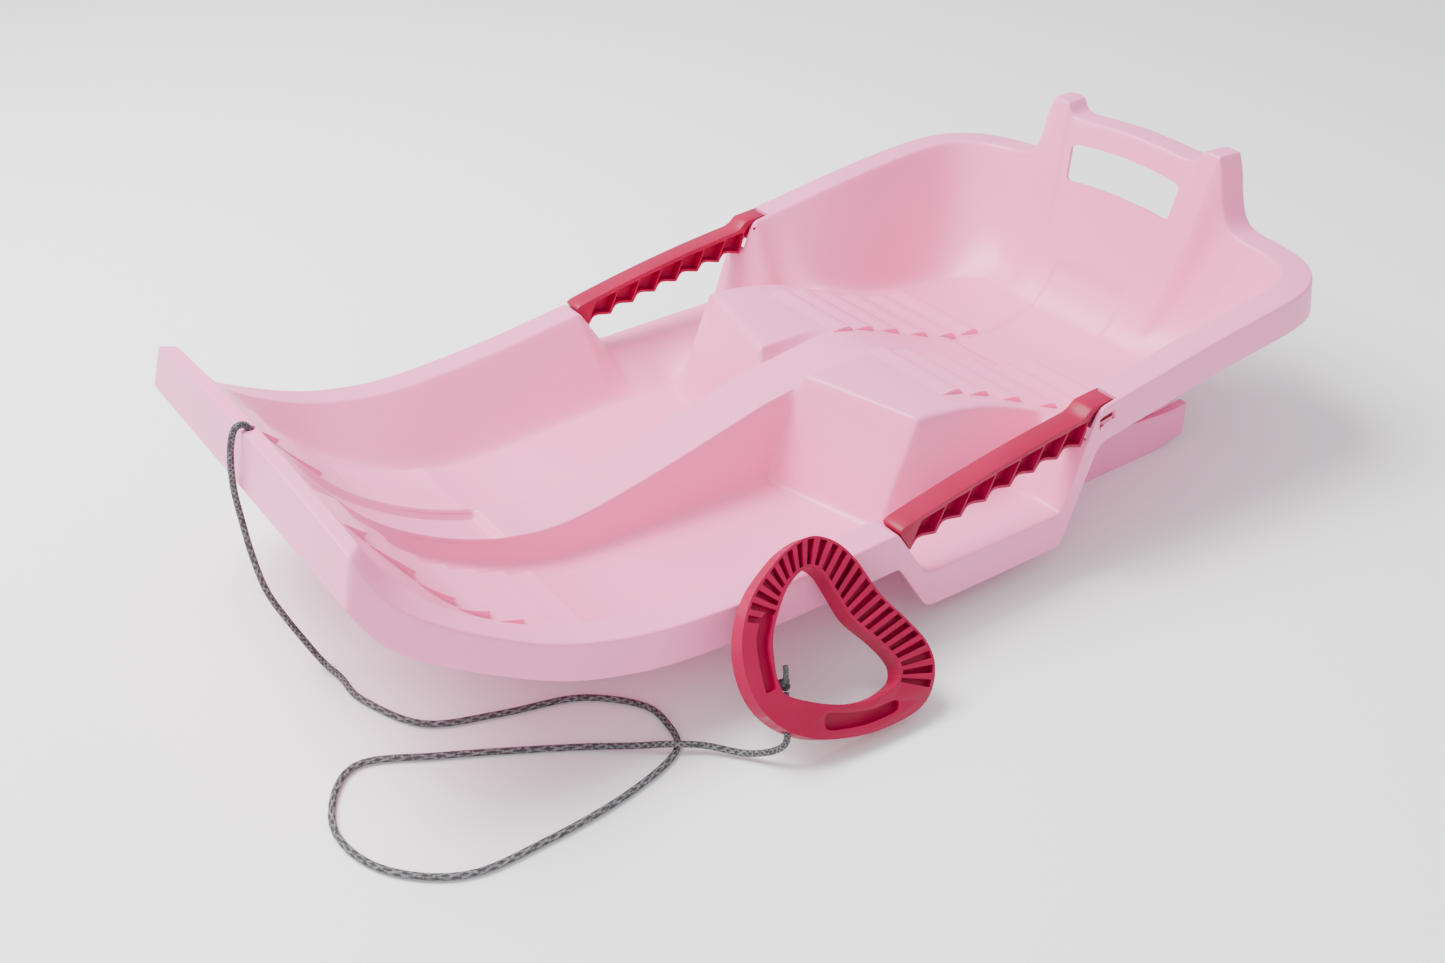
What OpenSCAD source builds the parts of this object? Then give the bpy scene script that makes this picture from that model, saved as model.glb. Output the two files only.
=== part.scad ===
// Plastic bob sled: one moulded hull, two hinged brake levers, a pull rope and its ring handle.
// +X runs to the rear, +Y to the sled's left side, Z is up, and the keels stand on z = 0.

/* [Hull] */
// Length of the hull over the bumper and the rear skirt
hull_l = 939; // [800:1:1150]
// Width of the hull over the side rims at the levers
hull_w = 494; // [420:1:600]
// Wall thickness of the moulding
wall_t = 3; // [2.4:0.1:4]
// Width of the flat top of the side rims
rim_w = 27; // [24:1:34]
// Depth of the skirt that hangs from the rim's outer edge
skirt_d = 30; // [22:1:40]
// Height of the middle of the front bumper
nose_h = 215; // [190:1:240]
// Outward lean of the skirt over its depth
skirt_lean = 3; // [0:0.5:5]
// Height of the footwell floor above the ground
floor_h = 26; // [20:1:36]
// Height of the ledge between the seat and the side wall, under the levers
ledge_h = 42; // [34:1:48]
// Height of the seat's front edge above the ground
seat_h = 119; // [100:1:140]
// Height of the side rims where the levers end at the front
shoulder_h = 101; // [85:1:120]
// Height of the side rims at the posts that carry the levers
post_h = 139; // [125:1:160]
// Height of the rim in the hand cut-outs
dip_h = 52; // [40:1:62]
// Height of the two towers of the rear grip
tower_h = 241; // [215:1:280]
// Height of the grip bar between the towers
bar_h = 226; // [205:1:250]

/* [Rear grip] */
// Width of the hand hole at its top
hole_w = 138; // [100:1:150]
// Height of the hand hole
hole_h = 36; // [28:1:44]

/* [Brake levers] */
// Place of the lever's front end along the hull
lever_x = -72; // [-90:1:-50]
// Length of the lever's hand grip, from its front end to the post
grip_l = 190; // [150:1:210]
// Width of the lever
lever_w = 20; // [16:1:22]
// Clearance on each side of the lever in the rim
lever_gap = 0.6; // [0.4:0.1:1.5]
// Length of the brake arm behind the pivot pin
claw_l = 150; // [120:1:170]
// Diameter of the pivot pin
pin_d = 5; // [4:0.5:7]
// Radial clearance of the pin in the lever
pin_gap = 0.05; // [0.03:0.01:0.1]

/* [Pull rope] */
// Diameter of the rope
rope_d = 5; // [4:0.5:7]
// Diameter of the rope hole in the front rim
rope_hole_d = 8; // [7:0.5:10]
// Thickness of the ring handle
ring_t = 18; // [14:1:24]

/* [Hidden] */
$fn = 48;

hull_pink = "#f4bcd0";
crimson = "#c8184c";
rope_grey = "#6f6f70";
steel = "#b8bcc0";

// ---- smooth curves through a few points -------------------------------------------------------
function seg(p, x, i = 0) = i >= len(p) - 2 || x < p[i + 1][0] ? i : seg(p, x, i + 1);
function tilt(p, i) = let (a = max(i - 1, 0), b = min(i + 1, len(p) - 1))
    (p[b][1] - p[a][1]) / (p[b][0] - p[a][0]);
function along(p, x) = let (i = seg(p, x), h = p[i + 1][0] - p[i][0],
    t = min(1, max(0, (x - p[i][0]) / h)), m0 = tilt(p, i) * h, m1 = tilt(p, i + 1) * h)
    (2 * t ^ 3 - 3 * t ^ 2 + 1) * p[i][1] + (t ^ 3 - 2 * t ^ 2 + t) * m0
    + (3 * t ^ 2 - 2 * t ^ 3) * p[i + 1][1] + (t ^ 3 - t ^ 2) * m1;
function straight(p, x) = lookup(x, p);
function ramp(x, a, b) = let (t = min(1, max(0, (x - a) / (b - a)))) t * t * (3 - 2 * t);

// ---- the hull's plan ----------------------------------------------------------------------------
half_w = hull_w / 2;
sx = hull_l / 939;                      // style curves stretch with the hull's length
sw = half_w / 247;                      // and with its width

lever_y = half_w - rim_w / 2;
post_x = lever_x + grip_l;              // foot of the post's front slope is ahead of this
pin_x = post_x + 16;
pin_z = post_h - 14;

// half width of the hull over its rims, at stations along it
RIM_HALF = [[-473 * sx, 185 * sw], [-447 * sx, 196 * sw], [-401 * sx, 208 * sw], [-347 * sx, 218 * sw],
    [-231 * sx, 231 * sw], [-150 * sx, 238 * sw], [lever_x, half_w - 3], [post_x - 40, half_w],
    [330 * sx, half_w]];
// height of the footwell floor, rising into the nose
FLOOR = [[-452 * sx, 190], [-425 * sx, 150], [-384 * sx, 95], [-353 * sx, 72], [-304 * sx, 46],
    [-251 * sx, floor_h + 3], [-210 * sx, floor_h], [20, floor_h]];
// height of the crest of the tunnel between the footwells
CREST = [[-452 * sx, 192], [-425 * sx, 156], [-402 * sx, 127], [-352 * sx, 91], [-302 * sx, 69],
    [-249 * sx, 58], [-204 * sx, 62], [-116 * sx, 81], [-28 * sx, seat_h - 17], [30 * sx, seat_h - 9],
    [90 * sx, seat_h]];
// height of the seat, from the knee blocks down and up again to the backrest
SEAT = [[0, seat_h], [40, seat_h + 1], [75 * sx, seat_h - 4], [112 * sx, seat_h - 14], [160 * sx, 85],
    [228 * sx, 56], [271 * sx, 45], [324 * sx, 41], [345 * sx, 44], [365 * sx, 52]];
// height of the rim along each side
nose_drop = 8;
RIM_NOSE = [[-473 * sx, nose_h - nose_drop], [-447 * sx, 172], [-401 * sx, 134], [-347 * sx, 107],
    [-284 * sx, 93], [-231 * sx, 91], [-177 * sx, 92], [-128 * sx, 96], [lever_x - 3, shoulder_h]];
RIM_DIP = [[lever_x - 3, shoulder_h], [lever_x + 27, dip_h], [post_x - 18, dip_h],
    [post_x + 9, post_h - 14], [post_x + 16, post_h]];
RIM_REAR = [[post_x + 16, post_h], [225 * sx, post_h + 13], [289 * sx, post_h + 22],
    [378 * sx, post_h + 29], [445 * sx, post_h + 31]];
// height of the rim across the rear: the shoulders, the towers and the grip bar
RIM_BACK = [[0, bar_h + 5], [40, bar_h + 3], [75, bar_h], [79, tower_h - 12], [84, tower_h - 2],
    [92, tower_h], [105, tower_h - 1], [111, tower_h - 20], [118, post_h + 47], [130, post_h + 35],
    [150, post_h + 31]];

// stations along the hull; those at the knee blocks' face slant with the distance from the middle
face_b = -38;
face_t = 1;
ROWS = [for (x = [-452, -440, -425, -408, -390, -370, -350, -325, -298, -292, -270, -245, -210, -160,
    -115]) x * sx,
    lever_x - 3, lever_x + 27, face_b, face_t, 46, 74, post_x - 18, post_x + 9, post_x + 16,
    post_x + 32, post_x + 48, max(190 * sx, post_x + 54), max(228 * sx, post_x + 64),
    max(260 * sx, post_x + 90)];
ROW_B = 17;
ROW_T = 18;
RECESS = [3, 8];                        // first and last row of the recessed panel in the tunnel's top
ARC = [0, 25, 45, 65, 90];              // the rear corners, in degrees round the corner
NR = len(ROWS) + len(ARC);
// distances from the middle line
COLS = [0, 17, 20, 26, 32, 50, 70.5, 75.5, 80.5, 90, 105, 112.5, 122.5, 137.5, 150, 158, 165, 172];
NC = 2 * len(COLS) - 1;
MID = len(COLS) - 1;
foot_w = 172;
tunnel_w = 32;
keel_col = 16;

function arc_of(i) = i < len(ROWS) ? 0 : ARC[i - len(ROWS)];
function col_a(j) = COLS[abs(j - MID)];
function side(j) = sign(j - MID);

// the rings round the hull: how far each lies from the foot of the walls
// [reach of the rear end, rear corner radius, half width at the front end, x of the front end]
REAR_X = [365, 388, 406, 425, 452, 457];
REAR_R = [60, 60, 61, 62, 85, 88];
FRONT_X = [-452, -455.5, -458.5, -462, -473, -482];
FRONT_W = [160, 163, 166, 170, 180, 184];
// every piece is moved along so that the hull's middle lies on x = 0
move_x = -(FRONT_X[5] + REAR_X[5]) / 2 * sx;
module placed() { translate([move_x, 0, 0]) children(); }

function lerp(a, b, t) = a + (b - a) * t;
function side_half(k, x, th) = let (o = along(RIM_HALF, min(x, 330 * sx)),
    foot = min(foot_w * sw, o - rim_w - lerp(10, 49 * sw, ramp(x, -452 * sx, -300 * sx))),
    w = [foot, lerp(foot, o - rim_w, 0.3), lerp(foot, o - rim_w, 0.65), o - rim_w, o,
        o + skirt_lean][k])
    w - REAR_R[k] * (1 - cos(th));
function front_half(k) = FRONT_W[k] * sw;
function rear_half(k) = side_half(k, 330 * sx, 90);
// x of a ring's point beside a row
function side_x(k, i) = let (x = i < len(ROWS) ? ROWS[i] : 305 * sx, th = arc_of(i),
    f = ramp(x, 170 * sx, 305 * sx), b = 1 - ramp(x, -452 * sx, -380 * sx),
    xr = REAR_X[k] * sx - REAR_R[k], slant = i == ROW_B || i == ROW_T ? 0.22 * 143 : 0)
    th > 0 ? xr + REAR_R[k] * sin(th) : x + slant + f * (xr - 305 * sx) * (k > 0 ? 1 : 0)
        + b * (FRONT_X[k] + 452);

function rim_z(x, th) = x < lever_x - 3 ? along(RIM_NOSE, x) : x < post_x + 16 ? straight(RIM_DIP, x)
    : along(RIM_REAR, min(x, 445 * sx));

function nose_z(y) = nose_h - nose_drop * (y / FRONT_W[4] / sw) ^ 2;
function gap_here(i) = i >= ROW_T && i < len(ROWS) && ROWS[i] < 160 * sx;

// height of the top surface at a row and a distance from the middle
function floor_z(x) = along(FLOOR, min(x, 20));
function top_z(i, a, x) =
    i <= ROW_B ? (a <= 26 ? along(CREST, x) - (a <= 17 && i >= RECESS[0] && i <= RECESS[1] ? 5 : 0)
        : floor_z(x))
    : let (s = along(SEAT, x))
        a <= 26 ? min(s, along(CREST, min(x, 90 * sx)))
        : a >= 158 && gap_here(i) ? ledge_h : s;

function patch_w(i) = side_half(0, i < len(ROWS) ? ROWS[i] : 305 * sx, arc_of(i));
function patch_x(i, a) = let (th = arc_of(i))
    i < len(ROWS) ? ROWS[i] + (i == ROW_B || i == ROW_T ? 0.22 * max(0, a - 29) : 0)
    : REAR_X[0] * sx - REAR_R[0] * (1 - sin(th));
function patch(i, j) = let (a = col_a(j), w = patch_w(i), x = patch_x(i, a),
    y = spread(a, w))
    [x, side(j) * y, top_z(i, a, x)];

// ---- rings ----------------------------------------------------------------------------------------
// perimeter: the right side from front to rear, across the rear, back along the left, across the front
NP = 2 * (NR - 1) + 2 * (NC - 1);
function at_side(p) = p < NR - 1 ? 0 : p < NR - 1 + NC - 1 ? 1 : p < 2 * (NR - 1) + NC - 1 ? 2 : 3;
function row_of(p) = [p, NR - 1, 2 * (NR - 1) + NC - 1 - p, 0][at_side(p)];
function col_of(p) = [0, p - (NR - 1), NC - 1, NP - p][at_side(p)];

function spread(a, w) = a <= tunnel_w ? a : tunnel_w + (a - tunnel_w) * (w - tunnel_w) / (foot_w - tunnel_w);
function rear_y(k, j) = side(j) * spread(col_a(j), rear_half(0)) * rear_half(k) / rear_half(0);
function front_y(k, j) = side(j) * spread(col_a(j), patch_w(0)) * front_half(k) / patch_w(0);

WALL_SIDE = [0, 0.3, 0.65, 1];
WALL_REAR = [0, 0.14, 0.46, 1];
function ring(k, p) = let (s = at_side(p), i = row_of(p), j = col_of(p), th = arc_of(i),
    corner = s == 1 || i == NR - 1, nose = i == 0 && s == 3,
    sd = j == 0 ? -1 : j == NC - 1 ? 1 : side(j),
    x = s == 1 ? REAR_X[k] * sx : nose ? FRONT_X[k] * sx : side_x(k, i),
    y = s == 1 ? rear_y(k, j) : nose ? front_y(k, j)
        : i == 0 ? sd * front_half(k) : sd * side_half(k, i < len(ROWS) ? side_x(k, i) : 330 * sx, th),
    foot = patch(i, j)[2],
    yr = abs(rear_y(3, j)),
    rim = corner ? straight(RIM_BACK, yr) : i == 0 ? nose_z(y) : rim_z(side_x(3, i), th),
    f = k > 3 ? 1 : lerp(WALL_SIDE[k], WALL_REAR[k], th / 90))
    [x, y, k <= 3 ? lerp(foot, rim, f) : k == 4 ? rim
        : rim - (i == 0 ? nose_z(y) - nose_h + 41 : skirt_d + (corner ? 4 : th / 22))];

// ---- the underside: the same rings, a wall's thickness away ------------------------------------
IN_OUT = [wall_t * 0.9, wall_t * 1.15, wall_t * 1.1, wall_t, -wall_t, -wall_t];
IN_DOWN = [wall_t, wall_t * 0.7, wall_t * 0.5, wall_t, wall_t, 0];
function outward(p) = let (s = at_side(p), i = row_of(p), th = arc_of(i), j = col_of(p),
    sd = j == 0 ? -1 : j == NC - 1 ? 1 : side(j))
    s == 1 || i == NR - 1 ? [1, 0, 0] : i == 0 ? (j == 0 || j == NC - 1 ? [-0.7, sd * 0.7, 0] : [-1, 0, 0])
    : [sin(th), sd * cos(th), 0];
function keel_z(x) = max(0, floor_z(x) - floor_h) + 8 * ramp(x, 300 * sx, 365 * sx);
// on the steep faces before and behind the levers the lower skin also steps back along the hull
STEP_BACK = [[14, 0], [15, -1.2], [16, -2], [17, 0], [20, 0], [21, 2], [22, 2.6], [23, 1.6], [24, 0]];
function under(k, p) = let (q = ring(k, p), d = at_side(p) % 2 == 0 ? lookup(row_of(p), STEP_BACK) : 0,
    r = q + outward(p) * IN_OUT[k] + [k > 0 ? d : 0, 0, -IN_DOWN[k]])
    k == 0 && row_of(p) > 0 ? [r[0], r[1], keel_z(q[0])] : r;

function normal(i, j) = let (a = patch(max(i - 1, 0), j), b = patch(min(i + 1, NR - 1), j),
    c = patch(i, max(j - 1, 0)), d = patch(i, min(j + 1, NC - 1)), n = cross(b - a, d - c))
    n / norm(n);
function bed(i, j) = let (q = patch(i, j))
    i == 0 || i == NR - 1 || j == 0 || j == NC - 1
        ? under(0, j == 0 && i < NR - 1 ? i : i == NR - 1 && j < NC - 1 ? NR - 1 + j
            : j == NC - 1 && i > 0 ? 2 * (NR - 1) + NC - 1 - i : NP - j)
    : let (r = q - normal(i, j) * wall_t)
        abs(j - MID) >= keel_col && i > 0 ? [r[0], r[1], min(r[2], keel_z(q[0]))]
        : i == NR - 2 && abs(j - MID) < keel_col ? [r[0], r[1], r[2]] : r;

// ---- one closed skin: the top, its rings, the skirt's edge, the rings below and the bed ----------
NG = NR * NC;
NK = 6;
function id_top(i, j) = i * NC + j;
function id_bed(i, j) = NG + i * NC + j;
function id_ring(k, p) = let (q = (p + NP) % NP)
    k == 0 ? id_top(row_of(q), col_of(q)) : 2 * NG + (k - 1) * NP + q;
function id_under(k, p) = let (q = (p + NP) % NP)
    k == 0 ? id_bed(row_of(q), col_of(q)) : 2 * NG + (NK - 1) * NP + (k - 1) * NP + q;

module shell() {
    points = concat([for (i = [0 : NR - 1], j = [0 : NC - 1]) patch(i, j)],
        [for (i = [0 : NR - 1], j = [0 : NC - 1]) bed(i, j)],
        [for (k = [1 : NK - 1], p = [0 : NP - 1]) ring(k, p)],
        [for (k = [1 : NK - 1], p = [0 : NP - 1]) under(k, p)]);
    function split(a, b, c, d) = [[a, b, c], [a, c, d]];
    top = [for (i = [0 : NR - 2], j = [0 : NC - 2]) each split(id_top(i, j), id_top(i, j + 1),
        id_top(i + 1, j + 1), id_top(i + 1, j))];
    beds = [for (i = [0 : NR - 2], j = [0 : NC - 2]) each split(id_bed(i, j), id_bed(i + 1, j),
        id_bed(i + 1, j + 1), id_bed(i, j + 1))];
    up = [for (k = [0 : NK - 2], p = [0 : NP - 1]) each split(id_ring(k, p), id_ring(k, p + 1),
        id_ring(k + 1, p + 1), id_ring(k + 1, p))];
    down = [for (k = [0 : NK - 2], p = [0 : NP - 1]) each split(id_under(k, p), id_under(k + 1, p),
        id_under(k + 1, p + 1), id_under(k, p + 1))];
    lip = [for (p = [0 : NP - 1]) each split(id_ring(NK - 1, p), id_ring(NK - 1, p + 1),
        id_under(NK - 1, p + 1), id_under(NK - 1, p))];
    polyhedron(points, concat(top, beds, up, down, lip), convexity = 10);
}

// ---- the hull's cuts and bearings -----------------------------------------------------------------
tongue_l = 31;                          // from the post's foot line to the tongue's rear end
slot_l = tongue_l + 4.5;                // the tongue's corner swings back as the lever rises
hub_r = pin_d / 2 + 4.2;
hub_w = 12;
lug_gap = 0.4;
wall_run = (half_w - rim_w - foot_w * sw) / (post_h - floor_h);
function wall_y(z) = half_w - rim_w - (post_h - z) * wall_run;
hole_z = bar_h - 41;                    // middle of the hand hole
hole_x = 412 * sx;
rope_x = -466.5 * sx;

module lever_slot() {
    slot_w = lever_w + 2 * lever_gap;
    translate([post_x - 6, lever_y - slot_w / 2, pin_z - 13]) cube([slot_l + 6, slot_w, 60]);
}

module lug(y0, y1, y2) {
    difference() {
        translate([pin_x - 3.5, 0, 0]) rotate([90, 0, 90]) linear_extrude(8.5)
            polygon([[y0, pin_z - 7], [y0, pin_z + 5], [y2, pin_z + 5], [y1, pin_z - 7]]);
        translate([pin_x, y0 - 30, pin_z]) rotate([-90, 0, 0]) cylinder(d = pin_d + 2 * pin_gap, h = 60);
        translate([pin_x - pin_d * 0.42, min(y0, y1) - 1, pin_z - 12]) cube([pin_d * 0.84, 40, 12]);
    }
}

module bearings() {
    lug(lever_y - hub_w / 2 - lug_gap, wall_y(pin_z - 7) + wall_t * 0.9, wall_y(pin_z + 5) + wall_t * 0.9);
    lug(lever_y + hub_w / 2 + lug_gap, half_w - wall_t * 0.6, half_w - wall_t * 0.6);
}

module hand_hole() {
    w = hole_w / 2;
    h = hole_h / 2;
    translate([hole_x - 35, 0, hole_z]) rotate([90, 0, 90]) linear_extrude(60)
        polygon([[-w + 7, -h], [-w / 2, -h + 2.5], [0, -h + 3.5], [w / 2, -h + 2.5], [w - 7, -h],
            [w - 3, -h + 3], [w, h - 4], [w - 4, h], [w / 2, h + 3.5], [0, h + 5], [-w / 2, h + 3.5],
            [-w + 4, h], [-w, h - 4], [-w + 3, -h + 3]]);
}

module hull() {
    color(hull_pink) placed() {
        difference() {
            shell();
            lever_slot();
            mirror([0, 1, 0]) lever_slot();
            translate([rope_x, 0, nose_h - 10]) cylinder(d = rope_hole_d, h = 20);
            hand_hole();
        }
        bearings();
        mirror([0, 1, 0]) bearings();
    }
}

// ---- brake lever ------------------------------------------------------------------------------------
plate_t = 3.5;
web_t = 3;
rib_t = 2;
flange_t = 2;
waves = 7;
wave_d = 25;                            // from the lever's top to the tips of its finger waves
trough = 6.5;
front_z = shoulder_h + 3;
back_z = post_h - 6;
lean_f = 30 / (shoulder_h - dip_h);     // the shoulder's slope, which the front end follows
lean_b = 27 / (post_h - 14 - dip_h);    // the post's slope, which the rear end follows
end_gap = 3;
arch = 3;                               // the grip bows up a little between its ends
function grip_z(x) = let (s = min(1, max(0, (x - lever_x) / grip_l)))
    front_z + s * (back_z - front_z) + 4 * arch * s * (1 - s);
function front_face(z) = lever_x - 3 + (shoulder_h - z) * lean_f + 0.8;
function back_face(z) = post_x - 18 + (z - dip_h) * lean_b - end_gap;
wave_x0 = front_face(grip_z(lever_x + 12) - wave_d);
wave_x1 = back_face(grip_z(post_x) - wave_d);
pitch = (wave_x1 - wave_x0) / waves;
// the finger waves, drawn from the rear to the front: a tip, a long rise, a round trough, a steep fall
WAVE = [[0, 0], [0.2, 0.3], [0.42, 0.68], [0.62, 0.96], [0.74, 1], [0.86, 0.7], [1, 0]];
function wave_line(d) = [for (k = [waves - 1 : -1 : 0], n = [0 : len(WAVE) - 2]) let (q = WAVE[n],
    x = wave_x0 + (k + 1 - q[0]) * pitch, z = grip_z(x) - wave_d + d + trough * q[1])
    [x, z]];

module pocket(k) {
    x0 = wave_x0 + k * pitch;
    lean = 9;                           // the ribs lean back towards the top
    edge = [for (u = [0.06, 0.2, 0.42, 0.62, 0.74, 0.86, 0.94]) let (x = x0 + (1 - u) * pitch)
        [x, grip_z(x) - wave_d + flange_t + 0.6 + trough * lookup(u, WAVE)]];
    polygon(concat([[x0 + rib_t / 2 + lean, grip_z(x0 + lean) - plate_t],
        [min(x0 + pitch - rib_t / 2 + lean, back_face(grip_z(post_x) - plate_t) - 3),
            grip_z(x0 + pitch) - plate_t]], edge));
}

module lever_side() {
    tip_f = [wave_x0, grip_z(wave_x0) - wave_d];
    polygon(concat([tip_f, [front_face(shoulder_h - 3), shoulder_h - 3], [lever_x - 1.6, shoulder_h + 0.5],
        [lever_x + 0.4, front_z - 0.6]],
        [for (s = [0.015 : 0.12 : 0.98]) [lever_x + s * grip_l, grip_z(lever_x + s * grip_l)]],
        [[post_x - 2, grip_z(post_x - 2)], [post_x + 3, back_z + 3.4], [post_x + 8, post_h + 1], [post_x + tongue_l, post_h + 3],
        [post_x + tongue_l - 1, post_h - 1], [post_x + 12, post_h - 3], [post_x + 5, post_h - 12],
        [back_face(pin_z - 4), pin_z - 4]], wave_line(0)));
}

module lever() {
    w = lever_w;
    arm_a = atan((RIM_REAR[2][1] - RIM_REAR[0][1]) / (RIM_REAR[2][0] - RIM_REAR[0][0])) - 1;
    difference() {
        union() {
            translate([0, lever_y + w / 2, 0]) rotate([90, 0, 0]) linear_extrude(w) lever_side();
            translate([0, lever_y + hub_w / 2, 0]) rotate([90, 0, 0]) linear_extrude(hub_w) union() {
                translate([pin_x, pin_z]) circle(r = hub_r);
                polygon([[pin_x - hub_r + 1, pin_z], [pin_x + hub_r, pin_z + 2],
                    [post_x + tongue_l - 6, post_h], [post_x + 3, post_h - 3]]);
                translate([pin_x, pin_z]) rotate(arm_a) polygon([[0, -hub_r + 0.6], [claw_l - 16, -5],
                    [claw_l - 10, -9], [claw_l, -4], [claw_l, 4.5], [0, hub_r - 1]]);
            }
        }
        translate([pin_x, 0, pin_z]) rotate([-90, 0, 0])
            cylinder(d = pin_d + 2 * pin_gap, h = half_w + 20);
        for (k = [0 : waves - 1], sd = [-1, 1])
            translate([0, lever_y + sd * (w / 2 + 0.5) + (sd > 0 ? 0 : (w - web_t) / 2 + 0.5), 0])
                rotate([90, 0, 0]) linear_extrude((w - web_t) / 2 + 0.5) pocket(k);
    }
}

module lever_left() { color(crimson) placed() lever(); }
module lever_right() { color(crimson) placed() mirror([0, 1, 0]) lever(); }

module pin() {
    y0 = lever_y - lever_w / 2 - lever_gap + 0.1;
    translate([pin_x, y0, pin_z]) rotate([-90, 0, 0]) cylinder(d = pin_d, h = lever_w + 2 * lever_gap - 0.5);
}
module pin_left() { color(steel) placed() pin(); }
module pin_right() { color(steel) placed() mirror([0, 1, 0]) pin(); }

// ---- pull rope --------------------------------------------------------------------------------------
knot_r = rope_d * 1.06;
knot_z = nose_h - 15.6;
// from the knot up through the rim, over the bumper, down to the ground and round its loop to the ring
LAID = [[-466.5, 0, 205], [-466.5, 0, 212], [-470, 0, 219], [-477, 0, 218], [-482, 0, 206], [-485, 0, 188],
    [-486, 0, 168], [-485, 0, 145], [-483, 0, 115], [-478, 0, 80], [-468, 0, 50], [-458, -2, 25],
    [-450, -12, 7], [-445, -34, 3], [-443, -66, 3], [-418, -118, 3], [-366, -142, 3], [-312, -160, 3],
    [-278, -194, 3], [-274, -224, 3], [-286, -252, 3], [-338, -268, 3], [-403, -273, 3], [-463, -268, 3],
    [-506, -228, 3], [-514, -174, 3], [-479, -130, 3], [-422, -157, 3], [-345, -203, 3],
    [-308, -232, 6], [-288, -248, 8.6], [-268, -262, 7], [-248, -284, 5], [-236, -300, 12],
    [-228.5, -306.5, 21.5], [-222, -298, 33], [-214.5, -287, 46.5]];

// the route's top follows the front rim and the rest of it follows the ring, when the hull's size changes
front_dx = -473 * (sx - 1);
ring_dx = -203 * (sx - 1);
ring_dy = 247 - half_w;
ROUTE = [for (i = [0 : len(LAID) - 1]) let (w = ramp(i, 12, 19), q = LAID[i])
    [q[0] + lerp(front_dx, ring_dx, w), q[1] + w * ring_dy,
        q[2] + max(0, 1 - i / 13) * (nose_h - 215)]];

function spline(p, i, t) = let (a = p[max(i - 1, 0)], b = p[i], c = p[i + 1],
    d = p[min(i + 2, len(p) - 1)])
    0.5 * ((2 * b) + (c - a) * t + (2 * a - 5 * b + 4 * c - d) * t ^ 2 + (3 * b - a - 3 * c + d) * t ^ 3);
function unit(v) = v / norm(v);
// rings lie closer where the route's own points do
PATH = [for (i = [0 : len(ROUTE) - 2]) let (n = i < 13 ? 2 : norm(ROUTE[i + 1] - ROUTE[i]) > 50 ? 3 : 2)
    each [for (k = [0 : n - 1]) spline(ROUTE, i, k / n)], ROUTE[len(ROUTE) - 1]];
TAN = [for (i = [0 : len(PATH) - 1]) unit(PATH[min(i + 1, len(PATH) - 1)] - PATH[max(i - 1, 0)])];
function turned(v, t) = unit(v - (v * t) * t);
SIDE = [for (i = 0, v = turned([0, 1, 0], TAN[0]); i < len(PATH);
    i = i + 1, v = turned(v, TAN[min(i, len(PATH) - 1)])) v];
rope_sides = 8;

module pull_rope() {
    n = len(PATH);
    m = rope_sides;
    pts = [for (i = [0 : n - 1], k = [0 : m - 1]) let (b = cross(TAN[i], SIDE[i]))
        PATH[i] + rope_d / 2 * (cos(360 * k / m) * SIDE[i] + sin(360 * k / m) * b)];
    skin = [for (i = [0 : n - 2], k = [0 : m - 1]) let (a = i * m + k, b = i * m + (k + 1) % m)
        each [[a, a + m, b + m], [a, b + m, b]]];
    color(rope_grey) placed() polyhedron(pts, concat(skin, [[for (k = [0 : m - 1]) k],
        [for (k = [m - 1 : -1 : 0]) (n - 1) * m + k]]));
}

module rim_knot() {
    color(rope_grey) placed() translate([ROUTE[0][0], 0, knot_z]) sphere(r = knot_r);
}

// ---- ring handle ------------------------------------------------------------------------------------
ring_at = [-203 + ring_dx, -320 + ring_dy, 6.6];
ring_turn = -3;                         // about the upright, with the rim's own slant
ring_lean = 38.7;                       // from upright, its back on the rim's edge
OUTER = [[45, 148], [25, 146], [6, 138], [-17, 123], [-34, 101], [-42, 77], [-41, 52], [-30, 31], [-10, 15],
    [14, 6], [41, 1], [75, 2], [94, 11], [105, 28], [105, 46], [96, 66], [82, 91], [73, 120], [62, 138]];
INNER = [[31, 128], [11, 119], [-10, 95], [-18, 74], [-20, 58], [-15, 48], [15, 31], [46, 23], [68, 26],
    [75, 34], [74, 44], [66, 60], [52, 82], [47, 103], [42, 121]];
function loop_pt(p, i, t) = let (n = len(p), a = p[(i + n - 1) % n], b = p[i], c = p[(i + 1) % n],
    d = p[(i + 2) % n])
    0.5 * ((2 * b) + (c - a) * t + (2 * a - 5 * b + 4 * c - d) * t ^ 2 + (3 * b - a - 3 * c + d) * t ^ 3);
function smooth(p, n = 4) = [for (i = [0 : len(p) - 1], k = [0 : n - 1]) loop_pt(p, i, k / n)];

module ring_frame() {
    translate([move_x, 0, 0] + ring_at) rotate([90 - ring_lean, 0, ring_turn]) children();
}
eye_a = 68;                             // direction of the rope hole through the boss
eye_at = [-25, 22];

module pull_ring() {
    pocket_d = ring_t * 0.35;
    color(crimson) ring_frame() difference() {
        translate([0, 0, -ring_t / 2]) linear_extrude(ring_t) difference() {
            polygon(smooth(OUTER));
            polygon(smooth(INNER));
        }
        for (sd = [-1, 1]) translate([0, 0, sd * ring_t / 2 - pocket_d]) linear_extrude(2 * pocket_d) {
            polygon([[-31, 66], [-24, 64], [-17, 88], [-3, 107], [-9, 112], [-25, 93]]);
            polygon([[2, 17], [38, 7], [62, 8], [62, 16], [42, 17], [10, 26]]);
        }
        translate([eye_at[0], eye_at[1], 0]) rotate([0, 0, eye_a]) rotate([0, 90, 0])
            translate([0, 0, -12]) cylinder(d = rope_d + 2, h = 52);
    }
}

module ring_knot() {
    color(rope_grey) ring_frame() translate([-12.1, 57.2, 0]) sphere(r = knot_r * 1.1);
}

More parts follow.
